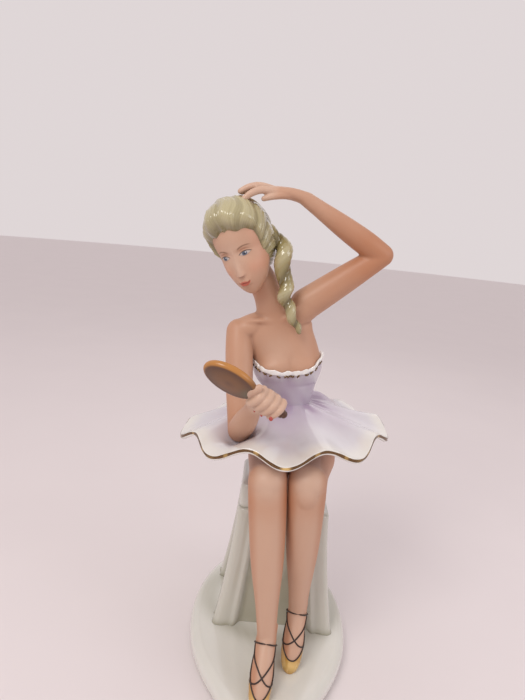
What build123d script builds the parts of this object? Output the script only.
from build123d import *
import os
from math import cos, pi, radians, sin

# A slip-cast porcelain figurine of a seated ballerina with a hand mirror, in millimetres.
# Each cast section is its own solid. The sections butt against each other along the joints
# where the caster lutes them together with slip before firing, so nothing moves.
# Design frame: +X is the figure's left, -Y is the way it faces, +Z is up, z = 0 is the table.
# The finished set is shifted at the end so that the origin is at its box's bottom centre.

# ---- base and stool -------------------------------------------------------------------------
BASE_HALF_WIDTH = 42.0
BASE_FRONT = 76.0            # from the widest line forward to the tip
BASE_BACK = 62.0             # from the widest line to the back
BASE_HEIGHT = 10.5
BASE_EDGE_RADIUS = 4.0       # round of the base's upper edge
BASE_WALL = 3.6              # thickness of the cast wall
FOOT_RING = 5.0              # width of the unglazed ring that the figurine stands on
VENT_RADIUS = 2.5            # hole that lets air out of the stool while it is fired
STOOL_X, STOOL_Y = 2.0, 10.0
STOOL_FOOT_WIDTH, STOOL_FOOT_DEPTH = 63.0, 50.0
STOOL_TOP_WIDTH, STOOL_TOP_DEPTH = 47.5, 36.0
STOOL_SHOULDER_Z = 75.0      # where the pedestal meets the seat block
STOOL_FLARE = 1.5            # power of the curve by which the pedestal spreads towards its feet
SEAT_WIDTH, SEAT_DEPTH = 45.0, 34.0
SEAT_TOP_Z = 88.5
LEG_WIDTH = 12.5             # width of a corner leg of the stool at its foot
PANEL_DEPTH = 4.5            # how far the panels between the corner legs are set back

# ---- body landmarks: joint centres of the figure -------------------------------------------
WAIST = (-0.5, 12.0, 129.0)
BUST = (-3.0, 7.0, 151.0)
NECKLINE = (-4.6, 6.6, 156.0)
SHOULDERS = (-10.5, 5.5, 167.5)
NECK_BASE = (-12.8, 5.0, 177.5)
NECK_TOP = (-20.5, 1.5, 192.0)
HEAD = (-30.8, -5.5, 206.5)
RINGLET_ROOT = (-14.6, -2.5, 211.5)
RINGLET_MIDDLE = (-9.2, -6.5, 190.0)
RINGLET_TIP = (-2.2, -6.6, 168.5)
RINGLET_BEADS = 6
HEAD_TURN = (10, -27, -20)   # the head nods forward, tilts to its right and turns to its right
RIGHT_CUP, LEFT_CUP, CUP_RADIUS = (-11.2, -1.4, 149.6), (5.4, -1.4, 150.4), 7.0
RIGHT_SHOULDER = (-28.4, 4.0, 165.5)
RIGHT_ELBOW = (-23.6, -15.0, 120.5)
RIGHT_WRIST = (-17.8, -45.0, 143.5)
FIST = (-13.8, -53.0, 148.6)
LEFT_SHOULDER = (2.3, 5.0, 181.5)
LEFT_ELBOW = (35.5, 2.0, 208.5)
LEFT_WRIST = (-4.0, -4.0, 230.8)
LEFT_KNUCKLES = (-20.0, -5.0, 233.0)
LEFT_FINGERTIPS = (-32.5, -6.5, 229.0)
RIGHT_HIP, LEFT_HIP = (-6.5, 13.0, 100.5), (15.4, 13.0, 101.0)
RIGHT_KNEE, LEFT_KNEE = (-8.8, -33.5, 105.0), (9.4, -32.0, 105.5)
RIGHT_ANKLE, LEFT_ANKLE = (-2.0, -41.0, 29.0), (13.0, -25.0, 31.5)
RIGHT_TOE, LEFT_TOE = (-4.0, -62.0, 9.5), (10.6, -40.5, 11.2)

# ---- sizes of the limbs: (share of the length, half width, half depth) ------------------------
THIGH_OVALS = [(0.0, 12.6, 12.2), (0.4, 11.0, 10.6), (0.75, 9.2, 8.8), (1.0, 8.6, 8.2)]
LOWER_LEG_OVALS = [
    (0.0, 8.3, 8.1), (0.14, 7.5, 7.7), (0.36, 7.9, 8.3), (0.55, 7.0, 7.2), (0.8, 5.2, 5.2), (1.0, 4.7, 4.9),
]
FOOT_OVALS = [(0.0, 4.7, 4.9), (0.34, 4.8, 5.2), (0.7, 4.9, 4.3), (0.92, 3.8, 3.3)]
RIGHT_UPPER_ARM_OVALS = [(0.0, 5.9, 6.4), (0.3, 5.9, 6.2), (0.65, 5.4, 5.4), (1.0, 5.4, 5.4)]
RIGHT_FOREARM_OVALS = [(0.0, 5.8, 5.6), (0.35, 5.8, 5.6), (0.7, 4.6, 4.6), (1.0, 3.7, 3.7)]
RIGHT_HAND_OVALS = [(0.0, 3.7, 3.7), (0.5, 5.6, 5.6), (1.0, 6.8, 7.2)]
LEFT_UPPER_ARM_OVALS = [(0.0, 7.8, 7.6), (0.3, 7.0, 6.8), (0.7, 5.9, 5.9), (1.0, 5.4, 5.2)]
LEFT_FOREARM_OVALS = [(0.0, 5.3, 5.5), (0.25, 5.4, 5.6), (0.65, 4.3, 4.6), (1.0, 3.2, 3.8)]
LEFT_PALM_OVALS = [(0.0, 3.2, 3.8), (0.5, 5.0, 3.4), (1.0, 5.2, 2.8)]
LEFT_FINGER_OVALS = [(0.6, 4.4, 2.2), (1.0, 3.0, 1.6)]

# ---- head, in its own upright frame: (back from the middle, height, radius) -------------------
SKULL_BALL = (1.5, 5.0, 11.8)
FACE_BALLS = [(0.0, -4.0, 10.2), (-2.6, -10.5, 7.6), (-4.4, -14.5, 4.6)]
CROWN_BALL = (3.0, 7.0, 15.8)
ROLL_BALL = (9.0, -5.5, 11.5)

# ---- mirror ---------------------------------------------------------------------------------
MIRROR_CENTRE = (-28.0, -57.5, 157.6)
MIRROR_LONG, MIRROR_SHORT = 11.8, 8.8    # half-axes of the oval plate
MIRROR_THICKNESS = 3.0
MIRROR_ALONG = (0.86, 0.1, -0.50)         # from the plate's far end down the handle
MIRROR_BACK = (-0.25, -0.72, -0.64)       # square to the back of the plate
HANDLE_RADIUS, HANDLE_LENGTH = 1.8, 15.0

# ---- skirt ----------------------------------------------------------------------------------
SKIRT_X, SKIRT_Y = -2.0, 3.5
SKIRT_RX, SKIRT_RY = 50.5, 46.0
SKIRT_RIM_Z = 119.5
SKIRT_THICKNESS = 2.6
SKIRT_WAVES = 9
WAVE_HEIGHT = 2.9            # half the rise from a trough to a crest of the rim
WAVE_REACH = 1.6             # how much further out a trough stands
SKIRT_TILT_SIDE, SKIRT_TILT_BACK = 4.0, -1.0


DOME = ((0.5, 0.84), (0.84, 0.46))   # a domed end's (reach, size) steps, as shares of its radius


def vec(point):
    return Vector(*point)


def towards(a, b):
    """The step from a to b."""
    return tuple(q - p for p, q in zip(a, b))


def mix(a, b, share):
    """The point that lies that share of the way from a to b."""
    return tuple(p + (q - p) * share for p, q in zip(a, b))


def along_bone(start, end, ovals):
    """Stations along a bone, from (share, half width, half depth) ovals."""
    return [(mix(start, end, share), wide, deep) for share, wide, deep in ovals]


def oval(centre, direction, half_width, half_depth, side=(1, 0, 0)):
    """A filled ellipse square to direction, half_width along side."""
    return Plane(origin=centre, x_dir=side, z_dir=direction) * Ellipse(half_width, half_depth)


def dome_stations(tip, inward):
    """Two smaller stations beyond a limb's end, so that the end is rounded like a dome."""
    point, half_width, half_depth = tip
    outward = (vec(point) - vec(inward)).normalized() * (half_width + half_depth) / 2
    steps = []
    for reach, size in DOME:
        steps.append((tuple(vec(point) + outward * reach), half_width * size, half_depth * size))
    return steps


def limb(stations, side=(1, 0, 0), round_start=False, round_end=False, start_along=None):
    """A solid lofted through ovals at (point, half width, half depth) stations along a limb.

    start_along is the direction of the piece that this one carries on from, so that the two end
    faces are the same oval.
    """
    stations = list(stations)
    if round_start:
        stations = dome_stations(stations[0], stations[1][0])[::-1] + stations
    if round_end:
        stations = stations + dome_stations(stations[-1], stations[-2][0])
    points = [vec(s[0]) for s in stations]
    faces = []
    for i, (point, half_width, half_depth) in enumerate(stations):
        ahead, behind = points[min(i + 1, len(points) - 1)], points[max(i - 1, 0)]
        direction = vec(start_along) if start_along and i == 0 else ahead - behind
        faces.append(oval(point, direction, half_width, half_depth, side))
    return loft(faces, ruled=True)


def ball(centre, radius):
    return Pos(*centre) * Sphere(radius)


def spheroid(centre, axis, radius, half_length):
    """A ball of that radius, drawn out or flattened to half_length each way along axis."""
    half = Ellipse(radius, half_length) & Pos(radius, 0, 0) * Rectangle(2 * radius, 3 * half_length)
    return Plane(origin=centre, z_dir=axis).location * Rot(90, 0, 0) * revolve(half, Axis.Y)


def cut(shape, *others):
    """The shape less the others, so that it meets them face to face; stray crumbs are dropped."""
    for other in others:
        shape = shape - other
    return max(shape.solids(), key=lambda solid: solid.volume)


# ---- base -----------------------------------------------------------------------------------
def base_outline():
    """The base's plan, an egg that is broad at the back and narrows to a round tip in front."""
    taper = [(-0.26, 0.945), (-0.45, 0.82), (-0.6, 0.66), (-0.75, 0.47), (-0.88, 0.28), (-0.965, 0.13)]
    front = [(half * BASE_HALF_WIDTH, y * BASE_FRONT) for y, half in taper]
    back = []
    for angle in (72, 54, 36, 18, 0):
        back.append((cos(radians(angle)) * BASE_HALF_WIDTH, sin(radians(angle)) * BASE_BACK))
    right = back + front
    left = [(-x, y) for x, y in right[::-1]]
    return make_face(Spline((0, BASE_BACK), *right, (0, -BASE_FRONT), *left, periodic=True))


def make_base():
    """A shallow dish, open underneath, standing on its foot ring, with a vent up into the stool."""
    plan = base_outline()
    block = extrude(plan, BASE_HEIGHT)
    block = fillet(block.faces().sort_by(Axis.Z)[-1].edges(), BASE_EDGE_RADIUS)
    hollow = extrude(scale(plan, by=1 - FOOT_RING / BASE_HALF_WIDTH), BASE_HEIGHT - BASE_WALL)
    vent = Pos(STOOL_X, STOOL_Y, 0) * Cylinder(VENT_RADIUS, 4 * BASE_HEIGHT)
    return block - hollow - vent


# ---- stool ----------------------------------------------------------------------------------
def stool_size(z):
    """Width and depth of the pedestal at height z: it spreads towards the feet in a smooth curve."""
    spread = (1 - z / STOOL_SHOULDER_Z) ** STOOL_FLARE
    width = STOOL_TOP_WIDTH + (STOOL_FOOT_WIDTH - STOOL_TOP_WIDTH) * spread
    depth = STOOL_TOP_DEPTH + (STOOL_FOOT_DEPTH - STOOL_TOP_DEPTH) * spread
    return width, depth


def stool_block(levels, inset):
    """A solid lofted through the pedestal's rounded plan at those heights, drawn in by inset."""
    faces = []
    for z in levels:
        width, depth = stool_size(z)
        plan = RectangleRounded(width - 2 * inset, depth - 2 * inset, 3.5)
        faces.append(Plane((STOOL_X, STOOL_Y, z)) * plan)
    return loft(faces)


def side_cutter(turn):
    """What is cut from one side of the pedestal, turned by turn degrees, to leave a sunk panel."""
    faces = []
    for z in (BASE_HEIGHT, 25.0, 48.0, STOOL_SHOULDER_Z - 4):
        width, depth = stool_size(z) if turn % 180 == 0 else stool_size(z)[::-1]
        leg = LEG_WIDTH * width / (STOOL_FOOT_WIDTH if turn % 180 == 0 else STOOL_FOOT_DEPTH)
        place = Pos(STOOL_X, STOOL_Y, z) * Rot(0, 0, turn) * Pos(0, -depth / 2, 0)
        faces.append(place * Rectangle(width - 2 * leg, 2 * PANEL_DEPTH))
    return loft(faces)


def make_pedestal():
    """A flared hollow box with a panel sunk into each side, so that four corner legs stand out."""
    body = stool_block([BASE_HEIGHT, 22.0, 36.0, 52.0, STOOL_SHOULDER_Z], 0)
    for turn in (0, 90, 180, 270):
        body = body - side_cutter(turn)
    hollow = stool_block([BASE_HEIGHT, 25.0, 45.0, STOOL_SHOULDER_Z - BASE_WALL], PANEL_DEPTH + BASE_WALL)
    return body - hollow


def make_seat():
    """The seat block: a rounded slab with a soft top edge that stands on the pedestal."""
    plan = Plane((STOOL_X - 1, STOOL_Y, STOOL_SHOULDER_Z)) * RectangleRounded(SEAT_WIDTH, SEAT_DEPTH, 6.0)
    slab = extrude(plan, SEAT_TOP_Z - STOOL_SHOULDER_Z)
    return fillet(slab.faces().sort_by(Axis.Z)[-1].edges(), 2.5)


# ---- legs -----------------------------------------------------------------------------------
def make_thigh(hip, knee):
    """A thigh that lies forward on the seat from the hip to the knee."""
    return limb(along_bone(hip, knee, THIGH_OVALS))


def make_lower_leg(knee, ankle):
    """A lower leg from the round of the knee, through the calf, down to the narrow ankle."""
    return limb(along_bone(knee, ankle, LOWER_LEG_OVALS), round_start=True)


def make_foot(knee, ankle, toe):
    """A pointed foot in its slipper, from the ankle to the blocked toe."""
    stations = along_bone(ankle, toe, FOOT_OVALS)
    return limb(stations, round_end=True, start_along=towards(knee, ankle))


# ---- torso ----------------------------------------------------------------------------------
def make_pelvis():
    """The block of the hips between the seat and the waist."""
    levels = [
        ((4.3, 13.0, SEAT_TOP_Z), 21.5, 14.5),
        ((4.2, 13.0, 100.0), 23.5, 15.5),
        ((3.4, 13.0, 111.0), 20.0, 13.5),
        ((1.2, 12.5, 121.0), 13.4, 10.4),
        (WAIST, 10.6, 8.8),
    ]
    return limb(levels)


def make_bodice():
    """The boned bodice from the waist up to its top edge, with the bust."""
    stations = [
        (WAIST, 10.6, 8.8),
        ((-1.2, 10.5, 138.0), 12.9, 10.2),
        (BUST, 17.2, 11.6),
        (NECKLINE, 17.2, 10.6),
    ]
    trunk = limb(stations)
    below_neckline = Pos(*NECKLINE) * Pos(0, 0, -20) * Box(80, 60, 40)
    for cup in (RIGHT_CUP, LEFT_CUP):
        trunk = trunk + (ball(cup, CUP_RADIUS) & below_neckline)
    return trunk


def make_bust():
    """The bare chest and the neck, up to where the neck enters the head."""
    stations = [
        (NECKLINE, 17.2, 10.6),
        ((-7.8, 6.0, 162.0), 17.8, 9.4),
        (SHOULDERS, 18.6, 8.6),
        ((-11.6, 5.2, 173.0), 14.0, 7.6),
        (NECK_BASE, 8.6, 7.0),
        (mix(NECK_BASE, NECK_TOP, 0.5), 6.7, 6.7),
        (NECK_TOP, 6.6, 6.8),
    ]
    return limb(stations)


# ---- head and hair --------------------------------------------------------------------------
def on_head(x, y, z):
    """A place given in the head's own frame, turned and set on the figure."""
    return Pos(*HEAD) * Rot(*HEAD_TURN) * Pos(x, y, z)


def make_head():
    """The face and skull without hair: overlapping balls for the skull, the cheeks and the chin."""
    y, z, radius = SKULL_BALL
    head = on_head(0, y, z) * Sphere(radius)
    for y, z, radius in FACE_BALLS:
        head = head + on_head(0, y, z) * Sphere(radius)
    return head


def make_hair_crown():
    """The swept-up front and crown of the hair, a cap over the skull that is open at the face."""
    y, z, radius = CROWN_BALL
    cap = on_head(0, y, z) * Sphere(radius)
    face_side = on_head(0, -18.5, -4.5) * Rot(24, 0, 0) * Box(34, 20, 22)
    under = on_head(0, 0, -16.0) * Box(60, 60, 20)
    return cap - face_side - under


def make_hair_roll():
    """The rolled hair at the nape."""
    y, z, radius = ROLL_BALL
    return on_head(1.0, y, z) * Sphere(radius)


def make_ringlet():
    """The long ringlet that falls over the left shoulder, in beads that narrow to the tip."""
    ringlet = ball(RINGLET_ROOT, 4.6)
    for i in range(1, RINGLET_BEADS + 1):
        share = i / RINGLET_BEADS
        centre = mix(mix(RINGLET_ROOT, RINGLET_MIDDLE, share), mix(RINGLET_MIDDLE, RINGLET_TIP, share), share)
        radius, half_length = 4.9 - 2.6 * share, 6.6 - 2.8 * share
        ringlet = ringlet + spheroid(centre, (0.5, -0.2, -1), radius, half_length)
    return ringlet


# ---- arms -----------------------------------------------------------------------------------
def make_right_upper_arm():
    """The hanging arm from the shoulder to the elbow."""
    return limb(along_bone(RIGHT_SHOULDER, RIGHT_ELBOW, RIGHT_UPPER_ARM_OVALS), round_start=True)


def make_right_forearm():
    """The forearm that rises forward from the elbow to the fist."""
    return limb(along_bone(RIGHT_ELBOW, RIGHT_WRIST, RIGHT_FOREARM_OVALS), round_start=True)


def make_left_upper_arm():
    """The raised arm from the shoulder out to the elbow."""
    return limb(along_bone(LEFT_SHOULDER, LEFT_ELBOW, LEFT_UPPER_ARM_OVALS), (0, 1, 0), round_start=True)


def make_left_forearm():
    """The forearm that comes back from the elbow to the crown of the head."""
    return limb(along_bone(LEFT_ELBOW, LEFT_WRIST, LEFT_FOREARM_OVALS), (0, 1, 0), round_start=True)


# ---- hands and mirror -----------------------------------------------------------------------
def make_right_hand():
    """The hand closed round the mirror's handle."""
    stations = along_bone(RIGHT_WRIST, FIST, RIGHT_HAND_OVALS)
    return limb(stations, round_end=True, start_along=towards(RIGHT_ELBOW, RIGHT_WRIST))


def make_left_hand():
    """The hand laid on the crown of the hair, with its fingers together."""
    stations = along_bone(LEFT_WRIST, LEFT_KNUCKLES, LEFT_PALM_OVALS)
    stations += along_bone(LEFT_KNUCKLES, LEFT_FINGERTIPS, LEFT_FINGER_OVALS)
    return limb(stations, (0, 1, 0), start_along=towards(LEFT_ELBOW, LEFT_WRIST))


def make_mirror():
    """An oval plate with a rounded rim on a short round handle."""
    plane = Plane(origin=MIRROR_CENTRE, x_dir=MIRROR_ALONG, z_dir=MIRROR_BACK)
    plate = extrude(Ellipse(MIRROR_LONG, MIRROR_SHORT), MIRROR_THICKNESS / 2, both=True)
    plate = fillet(plate.edges(), MIRROR_THICKNESS * 0.4)
    handle = Rot(0, 90, 0) * Cylinder(HANDLE_RADIUS, HANDLE_LENGTH)
    handle = Pos(MIRROR_LONG - 2 + HANDLE_LENGTH / 2, 0, 0) * handle
    return plane.location * (plate + handle)


# ---- skirt ----------------------------------------------------------------------------------
def rim_point(angle):
    """The rim's middle line at that angle: an oval that ripples up and down in even waves."""
    wave = cos(SKIRT_WAVES * (angle + pi / 2))
    reach = 1 + WAVE_REACH * wave / SKIRT_RX
    x = SKIRT_X + SKIRT_RX * cos(angle) * reach
    y = SKIRT_Y + SKIRT_RY * sin(angle) * reach
    z = SKIRT_RIM_Z + SKIRT_TILT_SIDE * cos(angle) + SKIRT_TILT_BACK * sin(angle) - WAVE_HEIGHT * wave
    return (x, y, z)


def skirt_profile(angle):
    """The skirt's cut face at that angle, a thin curved strip from the waist seam out to the rim."""
    inner = (WAIST[0] + 10.8 * cos(angle), WAIST[1] + 9.0 * sin(angle), WAIST[2] + 0.6)
    outer = rim_point(angle)
    middle = mix(inner, outer, 0.5)
    wave = WAVE_HEIGHT * cos(SKIRT_WAVES * (angle + pi / 2))
    middle = (middle[0], middle[1], middle[2] + 0.2 * wave - 1.0)
    top = [inner, middle, outer]
    bottom = [(x, y, z - SKIRT_THICKNESS) for x, y, z in top]
    edges = [Spline(*top), Line(outer, bottom[2]), Spline(*bottom[::-1]), Line(bottom[0], inner)]
    return make_face(edges)


def make_skirt():
    """The tutu, lofted round in quarter turns from its radial cut faces."""
    per_quarter = 18
    skirt = None
    for quarter in range(4):
        angles = [pi / 2 * (quarter + i / per_quarter) for i in range(per_quarter + 1)]
        piece = loft([skirt_profile(angle) for angle in angles])
        skirt = piece if skirt is None else skirt + piece
    return skirt


# ---- assembly -------------------------------------------------------------------------------
base = make_base()
seat = make_seat()
pelvis = cut(make_pelvis(), seat)
bodice = cut(make_bodice(), pelvis)
head = make_head()
bust = cut(make_bust(), bodice, head)
skirt = cut(make_skirt(), bodice, pelvis)
right_thigh = cut(make_thigh(RIGHT_HIP, RIGHT_KNEE), pelvis, seat, skirt)
left_thigh = cut(make_thigh(LEFT_HIP, LEFT_KNEE), pelvis, seat, skirt, right_thigh)
right_lower_leg = cut(make_lower_leg(RIGHT_KNEE, RIGHT_ANKLE), right_thigh, left_thigh, seat, skirt)
left_lower_leg = make_lower_leg(LEFT_KNEE, LEFT_ANKLE)
left_lower_leg = cut(left_lower_leg, left_thigh, right_thigh, right_lower_leg, seat, skirt)
crown = cut(make_hair_crown(), head, bust)
roll = cut(make_hair_roll(), head, crown, bust)
ringlet = cut(make_ringlet(), head, crown, roll, bust)
right_forearm = make_right_forearm()
right_upper_arm = cut(make_right_upper_arm(), bust, bodice, right_forearm)
mirror_piece = make_mirror()
skirt = cut(skirt, right_upper_arm, right_forearm)
left_upper_arm = cut(make_left_upper_arm(), bust, ringlet)
left_forearm = cut(make_left_forearm(), left_upper_arm)
parts = {
    "base_plinth": base,
    "stool_pedestal": make_pedestal(),
    "stool_seat": seat,
    "pelvis": pelvis,
    "right_thigh": right_thigh,
    "left_thigh": left_thigh,
    "right_lower_leg": right_lower_leg,
    "left_lower_leg": left_lower_leg,
    "right_slipper": cut(make_foot(RIGHT_KNEE, RIGHT_ANKLE, RIGHT_TOE), base),
    "left_slipper": cut(make_foot(LEFT_KNEE, LEFT_ANKLE, LEFT_TOE), base),
    "bodice": bodice,
    "bust": bust,
    "head": head,
    "hair_crown": crown,
    "hair_roll": roll,
    "ringlet": ringlet,
    "right_upper_arm": right_upper_arm,
    "right_forearm": right_forearm,
    "right_hand": cut(make_right_hand(), mirror_piece),
    "hand_mirror": mirror_piece,
    "left_upper_arm": left_upper_arm,
    "left_forearm": left_forearm,
    "left_hand": cut(make_left_hand(), crown),
    "tutu_skirt": skirt,
}
boxes = [shape.bounding_box() for shape in parts.values()]
low_x, high_x = min(box.min.X for box in boxes), max(box.max.X for box in boxes)
low_y, high_y = min(box.min.Y for box in boxes), max(box.max.Y for box in boxes)
to_origin = Pos(-(low_x + high_x) / 2, -(low_y + high_y) / 2, 0)
os.makedirs("parts", exist_ok=True)
for name, shape in parts.items():
    export_step(to_origin * shape, f"parts/{name}.step")
